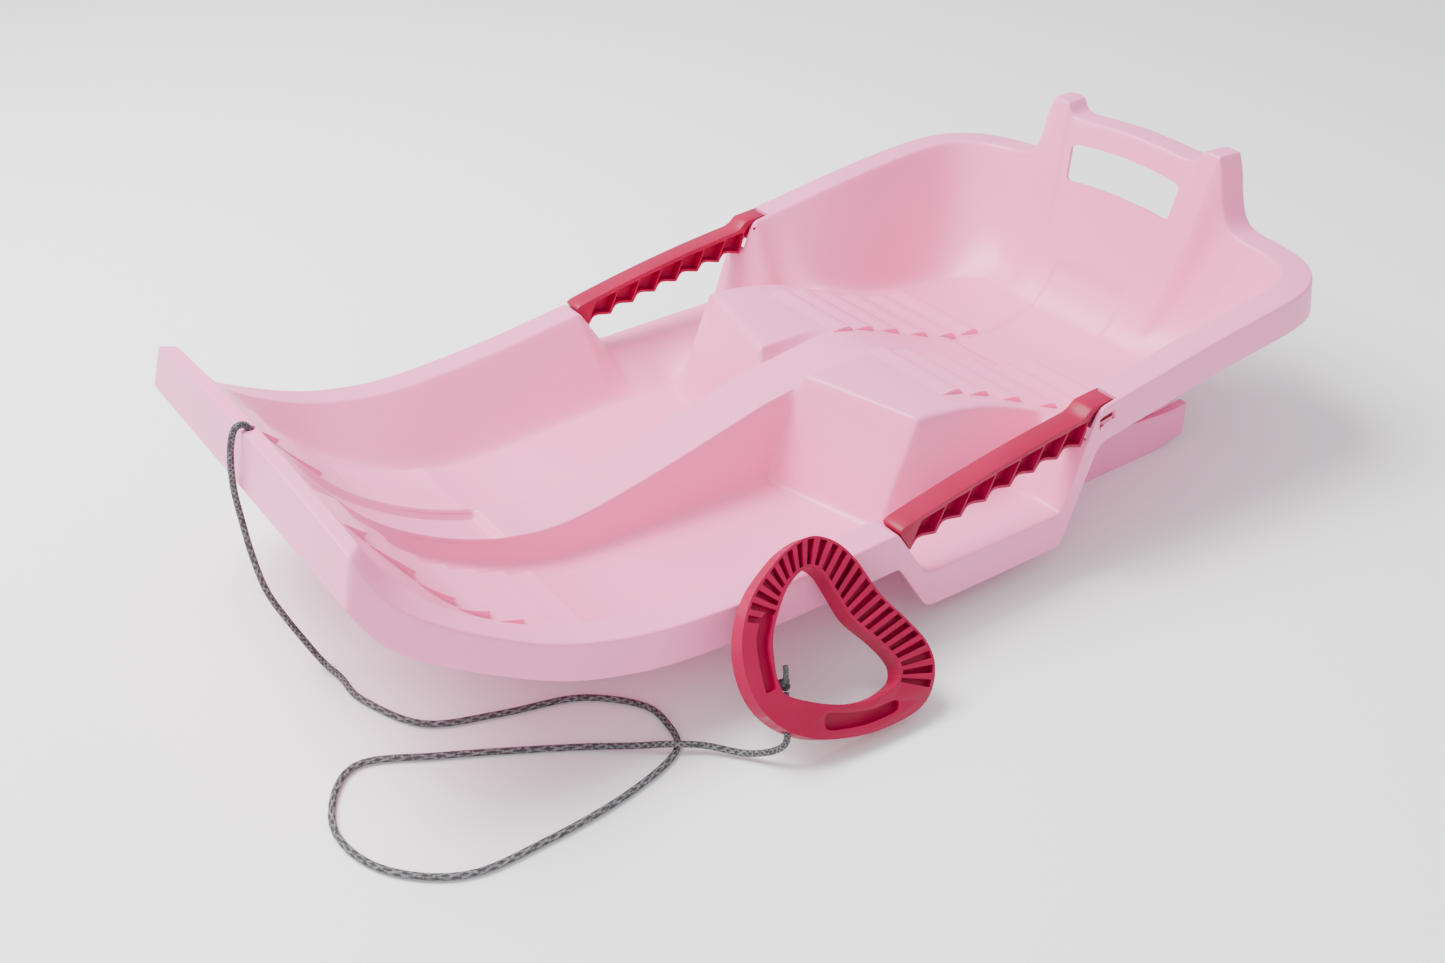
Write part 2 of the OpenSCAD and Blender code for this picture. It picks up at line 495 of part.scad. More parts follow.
hull();
lever_left();
lever_right();
pin_left();
pin_right();
pull_rope();
rim_knot();
pull_ring();
ring_knot();
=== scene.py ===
import math

import bmesh
import bpy
from mathutils import Matrix, Vector
from mathutils.bvhtree import BVHTree


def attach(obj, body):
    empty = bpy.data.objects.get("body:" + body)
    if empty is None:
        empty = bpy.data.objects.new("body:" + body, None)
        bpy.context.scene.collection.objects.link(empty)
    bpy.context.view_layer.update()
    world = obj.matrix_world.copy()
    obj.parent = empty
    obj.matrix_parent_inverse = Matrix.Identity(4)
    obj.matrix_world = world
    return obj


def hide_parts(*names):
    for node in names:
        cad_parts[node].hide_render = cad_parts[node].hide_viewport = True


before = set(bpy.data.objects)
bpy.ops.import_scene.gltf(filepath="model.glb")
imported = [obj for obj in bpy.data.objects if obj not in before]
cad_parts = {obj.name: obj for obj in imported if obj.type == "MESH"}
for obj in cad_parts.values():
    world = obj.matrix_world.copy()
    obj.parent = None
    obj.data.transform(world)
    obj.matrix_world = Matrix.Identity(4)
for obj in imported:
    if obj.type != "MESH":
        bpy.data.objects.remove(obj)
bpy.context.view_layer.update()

# The camera stands off the sled's right front corner and looks down on it, as a buyer
# would, with a lens a little longer than normal.
turn, dip, roll = math.radians(35.287), math.radians(32.592), math.radians(-0.584)
across = Vector((math.cos(turn), -math.sin(turn), 0))
ahead = Vector((math.sin(turn) * math.cos(dip), math.cos(turn) * math.cos(dip), -math.sin(dip)))
upward = across.cross(ahead)
camera = bpy.data.objects.new("camera", bpy.data.cameras.new("camera"))
camera.data.lens = 39.0
camera.data.sensor_width = 36
camera.matrix_world = Matrix((across * math.cos(roll) + upward * math.sin(roll),
                              upward * math.cos(roll) - across * math.sin(roll),
                              -ahead)).transposed().to_4x4()
camera.location = (-0.7286, -0.9565, 0.7675)
bpy.context.scene.collection.objects.link(camera)
bpy.context.scene.camera = camera

# The pull rope is 5 mm braided polyester cord, grey with dark flecks. It comes up through the
# front rim, drops over the bumper and lies in one loose loop on the ground up to its ring.
MM = 0.001
ROPE_D = 5.0
ROPE_HOLE_X = -466.5
MOVE_X = 12.5
ROUTE = [(ROPE_HOLE_X, 0, 205), (ROPE_HOLE_X, 0, 212), (-470, 0, 219), (-477, 0, 218), (-482, 0, 206), (-485, 0, 188),
         (-486, 0, 168), (-485, 0, 145), (-483, 0, 115), (-478, 0, 80), (-468, 0, 50), (-458, -2, 25),
         (-450, -12, 7), (-445, -34, 3), (-443, -66, 3), (-418, -118, 3), (-366, -142, 3), (-312, -160, 3),
         (-278, -194, 3), (-274, -224, 3), (-286, -252, 3), (-338, -268, 3), (-403, -273, 3), (-463, -268, 3),
         (-506, -228, 3), (-514, -174, 3), (-479, -130, 3), (-422, -157, 3), (-345, -203, 3),
         (-308, -232, 6), (-288, -248, 8.6), (-268, -262, 7), (-248, -284, 5), (-236, -300, 12),
         (-228.5, -306.5, 21.5), (-222, -298, 33), (-214.5, -287, 46.5)]


def through(points, steps, closed=False):
    """A smooth line through the points, with this many steps between each two."""
    n = len(points)
    pick = (lambda k: Vector(points[k % n])) if closed else (lambda k: Vector(points[min(max(k, 0), n - 1)]))
    line = []
    for i in range(n if closed else n - 1):
        a, b, c, d = pick(i - 1), pick(i), pick(i + 1), pick(i + 2)
        for k in range(steps):
            t = k / steps
            line.append(0.5 * (2 * b + (c - a) * t + (2 * a - 5 * b + 4 * c - d) * t ** 2
                               + (3 * b - a - 3 * c + d) * t ** 3))
    return line if closed else line + [Vector(points[-1])]


def new_piece(name, mesh):
    piece = bpy.data.objects.new(name, mesh)
    bpy.context.scene.collection.objects.link(piece)
    return piece


def settle(piece):
    """The piece's modifiers are worked into its mesh."""
    bpy.context.view_layer.update()
    mesh = bpy.data.meshes.new_from_object(piece.evaluated_get(bpy.context.evaluated_depsgraph_get()))
    piece.modifiers.clear()
    piece.data = mesh


def lay_cord(name, line, thick):
    """A round cord along a line in millimetres, as a mesh that keeps its length along U."""
    curve = bpy.data.curves.new(name, "CURVE")
    curve.dimensions = "3D"
    curve.bevel_depth = thick / 2 * MM
    curve.bevel_resolution = 4
    curve.use_fill_caps = True
    spline = curve.splines.new("POLY")
    spline.points.add(len(line) - 1)
    for point, place in zip(spline.points, line):
        point.co = (*(place * MM), 1)
    shaped = new_piece(name + "_line", curve)
    bpy.context.view_layer.update()
    mesh = bpy.data.meshes.new_from_object(shaped.evaluated_get(bpy.context.evaluated_depsgraph_get()))
    bpy.data.objects.remove(shaped)
    for face in mesh.polygons:
        face.use_smooth = True
    return new_piece(name, mesh)


rope_line = [p + Vector((MOVE_X, 0, 0)) for p in through(ROUTE, 6)]
pull_rope = lay_cord("pull_rope_braid", rope_line, ROPE_D)
rope_length = sum((b - a).length for a, b in zip(rope_line, rope_line[1:])) * MM


class Shade:
    """One socket of a material; sums and products of Shades add its Math nodes."""

    def __init__(self, finish, socket):
        self.finish, self.socket = finish, socket

    def maths(self, operation, *others):
        return self.finish.node("ShaderNodeMath", {"operation": operation}, self, *others)

    def __add__(self, other): return self.maths("ADD", other)
    def __sub__(self, other): return self.maths("SUBTRACT", other)
    def __mul__(self, other): return self.maths("MULTIPLY", other)
    def __rsub__(self, other): return self.maths("MULTIPLY", -1.0) + other
    __radd__, __rmul__ = __add__, __mul__

    def sin(self): return self.maths("SINE")
    def max(self, other): return self.maths("MAXIMUM", other)

    def between(self, low, high):
        """0 below low, 1 above high, smooth in between."""
        return self.finish.node("ShaderNodeMapRange", {"interpolation_type": "SMOOTHSTEP"}, self, low, high)


class Finish:
    """A material and the nodes that feed its one shader."""

    def __init__(self, name, **plain):
        self.material = bpy.data.materials.new(name)
        self.material.use_nodes = True
        self.tree = self.material.node_tree
        self.shader = self.tree.nodes["Principled BSDF"]
        for key, value in plain.items():
            self.shader.inputs[key.replace("_", " ")].default_value = value

    def node(self, kind, settings, *values, out=0, **named):
        made = self.tree.nodes.new(kind)
        for key, value in settings.items():
            if key == "stops":
                ramp = made.color_ramp.elements
                while len(ramp) < len(value):
                    ramp.new(0.5)
                for stop, (place, colour) in zip(ramp, value):
                    stop.position, stop.color = place, (*colour, 1)
            else:
                setattr(made, key, value)
        pairs = list(enumerate(values)) + [(key.replace("_", " "), value) for key, value in named.items()]
        for key, value in pairs:
            if isinstance(value, Shade):
                self.tree.links.new(value.socket, made.inputs[key])
            else:
                made.inputs[key].default_value = value
        return Shade(self, made.outputs[out])

    def place(self, which="Object"):
        return self.node("ShaderNodeTexCoord", {}, out=which)

    def xyz(self, vector):
        made = self.tree.nodes.new("ShaderNodeSeparateXYZ")
        self.tree.links.new(vector.socket, made.inputs[0])
        return [Shade(self, s) for s in made.outputs]

    def noise(self, vector, scale, detail=3.0):
        return self.node("ShaderNodeTexNoise", {}, Vector=vector, Scale=scale, Detail=detail)

    def mix(self, factor, one, two):
        made = self.tree.nodes.new("ShaderNodeMix")
        made.data_type = "RGBA"
        for key, value in ((0, factor), (6, one), (7, two)):
            if isinstance(value, Shade):
                self.tree.links.new(value.socket, made.inputs[key])
            else:
                made.inputs[key].default_value = value if key == 0 else (*value, 1)
        return Shade(self, made.outputs[2])

    def ramp(self, value, *stops):
        return self.node("ShaderNodeValToRGB", {"stops": stops}, value)

    def bump(self, height, metres, strength=1.0):
        return self.node("ShaderNodeBump", {}, Strength=strength, Distance=metres, Height=height)

    def feed(self, **links):
        for key, shade in links.items():
            self.tree.links.new(shade.socket, self.shader.inputs[key.replace("_", " ")])
        return self.material


braid = Finish("grey_braid", Roughness=0.85)
along, around, _ = braid.xyz(braid.place("UV"))
turns = rope_length / 0.0075
left_lay = (along * (turns * math.tau) + around * (4 * math.tau)).sin()
right_lay = (along * (turns * math.tau) - around * (4 * math.tau)).sin()
strands = left_lay.max(right_lay)
fleck = braid.noise(braid.place(), 420.0, 2.0)
grey = braid.ramp(fleck, (0.36, (0.05, 0.045, 0.045)), (0.48, (0.15, 0.15, 0.155)), (0.68, (0.24, 0.24, 0.25)))
shadow = strands.between(-0.2, 0.75)
braid_grey = braid.feed(Base_Color=braid.mix(shadow, (0.055, 0.052, 0.052), grey),
                        Normal=braid.bump(strands, 0.0006, 0.9))
pull_rope.data.materials.append(braid_grey)
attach(pull_rope, "sled")
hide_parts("pull_rope")

# The hull is one pink polyethylene moulding with walls 3 mm thick: two footwells beside a
# tunnel, a seat behind the knee blocks, and a rim that folds over into a skirt all round.
# It is drawn as half the outline of one sheet, folded outwards from the floor in loops.
RIM_W, LEDGE_H, NOSE_H, WALL_T = 27.0, 42.0, 215.0, 3.0
LEVER_X, POST_X = -72.0, 118.0
RIM_HALF = [(-473, 185), (-447, 196), (-401, 208), (-347, 218), (-231, 231), (-150, 238), (-72, 244),
            (78, 247), (330, 247)]
FLOOR = [(-452, 190), (-425, 150), (-384, 95), (-353, 72), (-304, 46), (-251, 29), (-210, 26), (20, 26)]
CREST = [(-452, 192), (-425, 156), (-402, 127), (-352, 91), (-302, 69), (-249, 58), (-204, 62), (-116, 81),
         (-28, 102), (30, 110), (90, 119)]
SEAT = [(0, 119), (40, 120), (75, 115), (112, 105), (160, 85), (228, 56), (271, 45), (324, 41), (345, 44),
        (365, 52)]
RIM_NOSE = [(-473, 207), (-447, 172), (-401, 134), (-347, 107), (-284, 93), (-231, 91), (-177, 92),
            (-128, 96), (-75, 101)]
RIM_DIP = [(-75, 101), (-45, 52), (100, 52), (127, 125), (134, 139)]
RIM_REAR = [(134, 139), (225, 152), (289, 161), (378, 168), (445, 170)]
RIM_BACK = [(0, 231), (40, 229), (75, 226), (79, 229), (84, 239), (92, 241), (105, 240), (111, 221),
            (118, 186), (130, 174), (150, 170)]
ROWS = [-452, -440, -425, -408, -390, -370, -350, -325, -298, -292, -270, -245, -210, -160, -115, -75, -45,
        -38, 1, 46, 74, 100, 127, 134, 150, 166, 190, 228, 260]
FACE_FOOT, FACE_TOP = 17, 18
ARC = [0, 25, 45, 65, 90]
COLS = [0, 17, 20, 26, 32, 50, 70.5, 75.5, 80.5, 90, 105, 112.5, 122.5, 137.5, 150, 158, 165, 172]
NR, NC, MID = len(ROWS) + len(ARC), 2 * len(COLS) - 1, len(COLS) - 1
REAR_X = [365, 388, 406, 425, 452, 457]
REAR_R = [60, 60, 61, 62, 85, 88]
FRONT_X = [-452, -455.5, -458.5, -462, -473, -482]
FRONT_W = [160, 163, 166, 170, 180, 184]


def straight(points, x):
    if x <= points[0][0]:
        return points[0][1]
    for (a, u), (b, v) in zip(points, points[1:]):
        if x <= b:
            return u + (v - u) * (x - a) / (b - a)
    return points[-1][1]


def curved(points, x):
    i = 0
    while i < len(points) - 2 and x >= points[i + 1][0]:
        i += 1

    def tilt(k):
        a, b = points[max(k - 1, 0)], points[min(k + 1, len(points) - 1)]
        return (b[1] - a[1]) / (b[0] - a[0])
    h = points[i + 1][0] - points[i][0]
    t = min(1, max(0, (x - points[i][0]) / h))
    return ((2 * t ** 3 - 3 * t ** 2 + 1) * points[i][1] + (t ** 3 - 2 * t ** 2 + t) * tilt(i) * h
            + (3 * t ** 2 - 2 * t ** 3) * points[i + 1][1] + (t ** 3 - t ** 2) * tilt(i + 1) * h)


def ramp(x, a, b):
    t = min(1, max(0, (x - a) / (b - a)))
    return t * t * (3 - 2 * t)


def arc_of(i):
    return 0 if i < len(ROWS) else ARC[i - len(ROWS)]


def spread(a, w):
    return a if a <= 32 else 32 + (a - 32) * (w - 32) / 140


def side_half(k, x, th):
    edge = curved(RIM_HALF, min(x, 330))
    foot = min(172, edge - RIM_W - (10 + 39 * ramp(x, -452, -300)))
    inner = edge - RIM_W
    w = [foot, foot + (inner - foot) * 0.3, foot + (inner - foot) * 0.65, inner, edge, edge + 3][k]
    return w - REAR_R[k] * (1 - math.cos(math.radians(th)))


def side_x(k, i):
    x = ROWS[i] if i < len(ROWS) else 305
    th = arc_of(i)
    f, b = ramp(x, 170, 305), 1 - ramp(x, -452, -380)
    back = REAR_X[k] - REAR_R[k]
    if th > 0:
        return back + REAR_R[k] * math.sin(math.radians(th))
    slant = 31.46 if i in (FACE_FOOT, FACE_TOP) else 0
    return x + slant + (f * (back - 305) if k > 0 else 0) + b * (FRONT_X[k] + 452)


def rim_z(x):
    if x < -75:
        return curved(RIM_NOSE, x)
    return straight(RIM_DIP, x) if x < 134 else curved(RIM_REAR, min(x, 445))


def nose_z(y):
    return NOSE_H - 8 * (y / 180) ** 2


def top_z(i, a, x):
    if i <= FACE_FOOT:
        if a <= 26:
            return curved(CREST, x) - (8 if a <= 20 and 2 <= i <= 8 else 0)
        return curved(FLOOR, min(x, 20))
    s = curved(SEAT, x)
    if a <= 26:
        return min(s, curved(CREST, min(x, 90)))
    return LEDGE_H if a >= 158 and i < len(ROWS) and ROWS[i] < 160 else s


def bed_point(i, j):
    a, th = COLS[abs(j - MID)], arc_of(i)
    x = ROWS[i] + (0.22 * max(0, a - 29) if i in (FACE_FOOT, FACE_TOP) else 0) if i < len(ROWS) \
        else 305 + 60 * math.sin(math.radians(th))
    w = side_half(0, ROWS[i] if i < len(ROWS) else 305, th)
    y = spread(a, w) * (j > MID or -(j < MID))
    return Vector((x, y, top_z(i, a, x)))


def loop_point(k, i, j):
    """Loop k of the walls and rim, beside the sheet's edge point in row i and column j."""
    if k == 0:
        return bed_point(i, j)
    th, rear, nose = arc_of(i), i == NR - 1, i == 0
    end = (rear or nose) and 0 < j < NC - 1
    sign = 1 if j > MID else -1 if j < MID else 0
    a = COLS[abs(j - MID)]
    if rear:
        full = side_half(0, 330, 90)
        x, y = REAR_X[k], sign * spread(a, full) * side_half(k, 330, 90) / full
    elif end:
        full = side_half(0, ROWS[0], 0)
        x, y = FRONT_X[k], sign * spread(a, full) * FRONT_W[k] / full
    elif nose:
        x, y = side_x(k, i), sign * FRONT_W[k]
    else:
        x = side_x(k, i)
        y = sign * side_half(k, x if i < len(ROWS) else 330, th)
    foot = bed_point(i, j).z
    if rear:
        full = side_half(0, 330, 90)
        rim = straight(RIM_BACK, spread(a, full) * side_half(3, 330, 90) / full)
    elif nose:
        rim = nose_z(y)
    else:
        rim = rim_z(side_x(3, i))
    side_f, rear_f = [0, 0.3, 0.65, 1][min(k, 3)], [0, 0.14, 0.46, 1][min(k, 3)]
    f = 1 if k > 3 else side_f + (rear_f - side_f) * th / 90
    if k <= 3:
        z = foot + (rim - foot) * f
    elif k == 4:
        z = rim
    else:
        z = rim - (nose_z(y) - NOSE_H + 41 if nose else 30 + (4 if rear else th / 22))
    return Vector((x, y, z))


def with_supports(count, extra):
    return sorted(set(range(count)) | set(extra))


# Extra loops beside the edges that stay crisp when the sheet is smoothed.
BESIDE_ROWS = (8.15, 8.85, 14.85, 15.15, 15.85, 16.5, 17.1, 17.9, 18.12, 20.8, 21.14, 21.86, 23.45)
BESIDE_COLS = (1.85, 2.15, 2.85, 3.12, 3.88, 8.2, 8.85, 9.15, 9.85, 10.15, 10.8, 14.1, 14.9)
row_at = with_supports(NR, BESIDE_ROWS)
col_at = with_supports(NC, [MID + side * col for side in (-1, 1) for col in BESIDE_COLS])
loop_at = (1, 2, 2.88, 3, 3.12, 3.88, 4, 4.12, 4.9, 5)


def between(point, *at):
    """point(...) for whole numbers, and straight in between for fractions."""
    for n, value in enumerate(at):
        low = math.floor(value + 1e-9)
        if value - low > 1e-9:
            one = between(point, *at[:n], low, *at[n + 1:])
            two = between(point, *at[:n], low + 1, *at[n + 1:])
            return one.lerp(two, value - low)
    return point(*(int(round(value)) for value in at))


def in_order(mesh):
    """The same mesh, sorted: extruding numbers its points differently on each run."""
    places = [tuple(v.co) for v in mesh.vertices]
    order = sorted(range(len(places)), key=places.__getitem__)
    rank = {n: place for place, n in enumerate(order)}
    faces = []
    for face in mesh.polygons:
        ring = [rank[n] for n in face.vertices]
        first = ring.index(min(ring))
        faces.append(ring[first:] + ring[:first])
    ordered = bpy.data.meshes.new(mesh.name)
    ordered.from_pydata([places[n] for n in order], [], sorted(faces))
    ordered.update(calc_edges=True)
    return ordered


sheet = bmesh.new()
bmesh.ops.create_grid(sheet, x_segments=len(row_at) - 1, y_segments=len(col_at) - 1, size=1)
row_id, col_id = sheet.verts.layers.int.new("row"), sheet.verts.layers.int.new("col")
for v in sheet.verts:
    v[row_id] = round((v.co.x + 1) / 2 * (len(row_at) - 1))
    v[col_id] = round((v.co.y + 1) / 2 * (len(col_at) - 1))
    v.co = between(bed_point, row_at[v[row_id]], col_at[v[col_id]])
for k in loop_at:
    folded = bmesh.ops.extrude_edge_only(sheet, edges=[e for e in sheet.edges if e.is_boundary])
    for v in folded["geom"]:
        if isinstance(v, bmesh.types.BMVert):
            v.co = between(loop_point, k, row_at[v[row_id]], col_at[v[col_id]])
bmesh.ops.recalc_face_normals(sheet, faces=sheet.faces)
floor_face = min(sheet.faces, key=lambda f: (f.calc_center_median() - Vector((-150, 100, 26))).length)
if floor_face.normal.z < 0:
    bmesh.ops.reverse_faces(sheet, faces=sheet.faces)
bmesh.ops.transform(sheet, matrix=Matrix.Translation((MOVE_X * MM, 0, 0)) @ Matrix.Scale(MM, 4),
                    verts=sheet.verts)
mesh = bpy.data.meshes.new("hull_shell")
sheet.to_mesh(mesh)
sheet.free()
hull = new_piece("hull_shell", in_order(mesh))
smoothed = hull.modifiers.new("smooth", "SUBSURF")
smoothed.levels = smoothed.render_levels = 2
settle(hull)

# The middle of the seat and of its back is a panel set in by a soft crease.
PANEL_SET = 2.2


def seat_relief(x, off, z):
    edge = max(6 + 34 * ramp(x, 168, 285), 40 + 6 * ramp(x, 285, 344)) + 17 * ramp(z, 85, 150)
    panel = (1 - ramp(off, edge - 4, edge + 4)) * ramp(x, 160, 185) * (1 - ramp(z, 158, 172))
    return -PANEL_SET * panel


sheet = bmesh.new()
sheet.from_mesh(hull.data)
seat = [f for f in sheet.faces if MOVE_X + 70 < f.calc_center_median().x / MM < MOVE_X + 460
        and abs(f.calc_center_median().y) < 0.165 and f.normal.z > -0.2 and f.normal.x < 0.3]
bmesh.ops.subdivide_edges(sheet, edges=list(dict.fromkeys(e for f in seat for e in f.edges)), cuts=1, use_grid_fill=True)
sheet.normal_update()
moves = []
for v in sheet.verts:
    x, off, z = v.co.x / MM - MOVE_X, abs(v.co.y) / MM, v.co.z / MM
    if 70 < x < 390 and off < 165 and v.normal.z > -0.1 and v.normal.x < 0.3:
        moves.append((v, v.normal * seat_relief(x, off, z) * MM))
for v, move in moves:
    v.co += move
sheet.to_mesh(hull.data)
sheet.free()

walls = hull.modifiers.new("walls", "SOLIDIFY")
walls.thickness = WALL_T * MM
walls.offset = -1
walls.use_even_offset = True
settle(hull)


def prism(outline, thick, place):
    """A solid with this outline in millimetres, thick along its own Z, put in its place."""
    solid = bmesh.new()
    face = solid.faces.new([solid.verts.new((u, v, -thick / 2)) for u, v in outline])
    raised = bmesh.ops.extrude_face_region(solid, geom=[face])
    far_side = [v for v in raised["geom"] if isinstance(v, bmesh.types.BMVert)]
    bmesh.ops.translate(solid, vec=(0, 0, thick), verts=far_side)
    bmesh.ops.recalc_face_normals(solid, faces=solid.faces)
    bmesh.ops.transform(solid, matrix=Matrix.Scale(MM, 4) @ place, verts=solid.verts)
    return solid


def joined(solids):
    """Several solids as one mesh."""
    mesh = bpy.data.meshes.new("joined")
    whole = bmesh.new()
    for solid in solids:
        solid.to_mesh(mesh)
        solid.free()
        whole.from_mesh(in_order(mesh))
    whole.to_mesh(mesh)
    whole.free()
    return mesh


def cut(piece, solids, operation="DIFFERENCE"):
    """The solids are cut out of the piece, or welded to it."""
    tool = new_piece("cutter", joined(solids))
    step = piece.modifiers.new("cut", "BOOLEAN")
    step.operation, step.solver, step.object = operation, "MANIFOLD", tool
    settle(piece)
    bpy.data.objects.remove(tool)


def side_on(y):
    """Puts an outline drawn in X and Z upright, square to Y."""
    return Matrix.Translation((MOVE_X, y, 0)) @ Matrix.Rotation(math.radians(90), 4, "X")


def circle(x, z, radius, count=40):
    return [(x + radius * math.cos(t), z + radius * math.sin(t)) for t in [math.tau * n / count for n in range(count)]]


# The hand hole, the levers' slots, a dent in each face of the posts, and the rope's hole.
HOLE_W, HOLE_H, HOLE_X, BAR_H = 138.0, 36.0, 407.0, 226.0
DENT_D, ROPE_HOLE_R = 3.4, 0.004
LEVER_Y, LEVER_W, LEVER_GAP, TONGUE_L, PIN_Z = 233.5, 20.0, 0.6, 31.0, 125.0
w, h = HOLE_W / 2, HOLE_H / 2
hole = [(-w + 7, -h), (-w / 2, -h + 2.5), (0, -h + 3.5), (w / 2, -h + 2.5), (w - 7, -h), (w - 3, -h + 3),
        (w, h - 4), (w - 4, h), (w / 2, h + 3.5), (0, h + 5), (-w / 2, h + 3.5), (-w + 4, h), (-w, h - 4),
        (-w + 3, -h + 3)]
across_back = (Matrix.Translation((MOVE_X + HOLE_X, 0, BAR_H - 41)) @ Matrix.Rotation(math.radians(90), 4, "Z")
               @ Matrix.Rotation(math.radians(90), 4, "X"))
slots = [prism(hole, 60, across_back)]
for side in (-1, 1):
    slots.append(prism([(POST_X - 6, PIN_Z - 13), (POST_X + TONGUE_L + 4.5, PIN_Z - 13),
                        (POST_X + TONGUE_L + 4.5, 190), (POST_X - 6, 190)], LEVER_W + 2 * LEVER_GAP,
                       side_on(side * LEVER_Y)))
    for face in (-13.5, 13.5):
        dent = [(POST_X + 14, 113), (POST_X + 31, 113), (POST_X + 31, 134), (POST_X + 14, 134)]
        slots.append(prism(dent, DENT_D, side_on(side * (LEVER_Y + face))))
bore = bmesh.new()
bmesh.ops.create_cone(bore, cap_ends=True, segments=32, radius1=ROPE_HOLE_R, radius2=ROPE_HOLE_R, depth=0.03,
                      matrix=Matrix.Translation(((MOVE_X + ROPE_HOLE_X) * MM, 0, 0.213)))
cut(hull, slots + [bore])

# Grip steps under the feet face the rider, like the teeth of a file.
STEP_EDGES = [-448, -436, -408, -383, -360, -336, -312, -288]
STEP_RISE, SUNK = 4.8, -1.6
floor_tree = bmesh.new()
floor_tree.from_mesh(hull.data)
moulded = BVHTree.FromBMesh(floor_tree)
floor_tree.free()


def floor_z(x):
    return moulded.ray_cast(Vector(((x + MOVE_X) * MM, 0.08, 1)), Vector((0, 0, -1)))[0].z / MM


def off_floor(x, lift):
    """A point this far off the floor or seat, square to it."""
    slope = (floor_z(x + 2) - floor_z(x - 2)) / 4
    size = math.hypot(1, slope)
    return x - slope / size * lift, floor_z(x) + lift / size


grips = []
for low, high in zip(STEP_EDGES, STEP_EDGES[1:]):
    span = [low + 1 + (high - low - 1) * n / 4 for n in range(5)]
    wedge = [off_floor(x, 0.4 + STEP_RISE * n / 4) for n, x in enumerate(span)]
    wedge += [off_floor(x, SUNK) for x in span[::-1]]
    far = min(103 + 37 * (high + 436) / 148, side_half(0, high, 0) - 7)
    grips += [prism(wedge, far - 50, side_on(side * (far + 50) / 2)) for side in (-1, 1)]
# Low waves cross each side of the seat, steep towards the rear.
SEAT_WAVES = [(95, 122), (123, 126), (158, 132), (199, 138), (241, 146), (275, 152)]
WAVE_SHAPE = [0.3, 1.1, 2.4, 3.4, 3.9, 3.6, 0.4]
for wave_x, far in SEAT_WAVES:
    span = [wave_x - 17 + 24 * n / 6 for n in range(7)]
    hump = [off_floor(x, lift) for x, lift in zip(span, WAVE_SHAPE)] + [off_floor(x, SUNK) for x in span[::-1]]
    near = 24 + 0.1 * (wave_x - 95)
    grips += [prism(hump, far - near, side_on(side * (far + near) / 2)) for side in (-1, 1)]
cut(hull, grips, "UNION")

# The mesh is thinned evenly to stay light.
MOST_TRIANGLES = 185000
thinned = hull.modifiers.new("thinned", "DECIMATE")
thinned.ratio = MOST_TRIANGLES / sum(len(face.vertices) - 2 for face in hull.data.polygons)
settle(hull)

# Two keels run under the footwells and the seat, and carry the hull on the ground.
KEEL_FRONT, KEEL_L = -425, 770
SEAT_UNDER = [(90, 26), (112, 42), (165, 42), (172, 80), (228, 54), (271, 43), (324, 39), (345, 41)]
keels = []
for side in (-1, 1):
    strip = bmesh.new()
    bmesh.ops.create_grid(strip, x_segments=60, y_segments=1, size=1)
    raised = bmesh.ops.extrude_face_region(strip, geom=strip.faces[:])
    top = {v for v in raised["geom"] if isinstance(v, bmesh.types.BMVert)}
    for v in strip.verts:
        x = KEEL_FRONT + (v.co.x + 1) / 2 * KEEL_L
        foot = side_half(0, min(x, 300), 0)
        rest = max(0, curved(FLOOR, min(x, 20)) - 26) + 8 * ramp(x, 300, 365)
        under = curved(FLOOR, min(x, 20)) if x < 90 else straight(SEAT_UNDER, x)
        v.co = ((x + MOVE_X) * MM, side * (foot - 7 + 8.7 * (v.co.y > 0)) * MM,
                (under - 1.5 if v in top else rest) * MM)
    bmesh.ops.recalc_face_normals(strip, faces=strip.faces)
    keels.append(strip)
keel = new_piece("keels", joined(keels))

pink = Finish("pink_moulding", Roughness=0.36, Subsurface_Weight=0.05, Subsurface_Scale=0.01)
place = pink.place()
grain = pink.noise(place, 900.0, 2.0)
cloud = pink.noise(place, 5.0, 2.0)
fine = pink.bump(grain, 0.00004, 0.5)
pink_moulding = pink.feed(
    Base_Color=pink.ramp(cloud, (0.3, (0.92, 0.235, 0.475)), (0.7, (0.95, 0.265, 0.51))),
    Roughness=grain * 0.12 + 0.32, Normal=fine)
for piece in (hull, keel):
    piece.data.set_sharp_from_angle(angle=math.radians(40))
    for face in piece.data.polygons:
        face.use_smooth = True
        face.material_index = 0
    piece.data.materials.clear()
    piece.data.materials.append(pink_moulding)
    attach(piece, "sled")
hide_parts("hull")
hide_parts("hull")

# Each brake lever is one crimson nylon moulding: an arched grip like an I-beam with finger
# waves below, a tongue at the rear and, inside the hollow rim, the arm that digs in the snow.
SHOULDER_H, POST_H, DIP_H, GRIP_L = 101.0, 139.0, 52.0, 190.0
PIN_X, WAVES, WAVE_D, TROUGH, PLATE_T, WEB_T, RIB_T, FLANGE_T = 134.0, 7, 25.0, 6.5, 3.5, 3.0, 2.0, 2.6
FRONT_LEAN, BACK_LEAN = 30 / (SHOULDER_H - DIP_H), 27 / (POST_H - 14 - DIP_H)
WAVE = [(0, 0), (0.08, 0.11), (0.2, 0.3), (0.32, 0.5), (0.42, 0.68), (0.52, 0.84), (0.62, 0.96), (0.68, 0.99),
        (0.74, 1), (0.8, 0.93), (0.86, 0.7), (0.93, 0.36), (1, 0)]


def grip_z(x):
    s = min(1, max(0, (x - LEVER_X) / GRIP_L))
    return SHOULDER_H + 3 + s * (POST_H - 6 - SHOULDER_H - 3) + 12 * s * (1 - s)


def front_face(z):
    return LEVER_X - 2.2 + (SHOULDER_H - z) * FRONT_LEAN


def back_face(z):
    return POST_X - 21 + (z - DIP_H) * BACK_LEAN


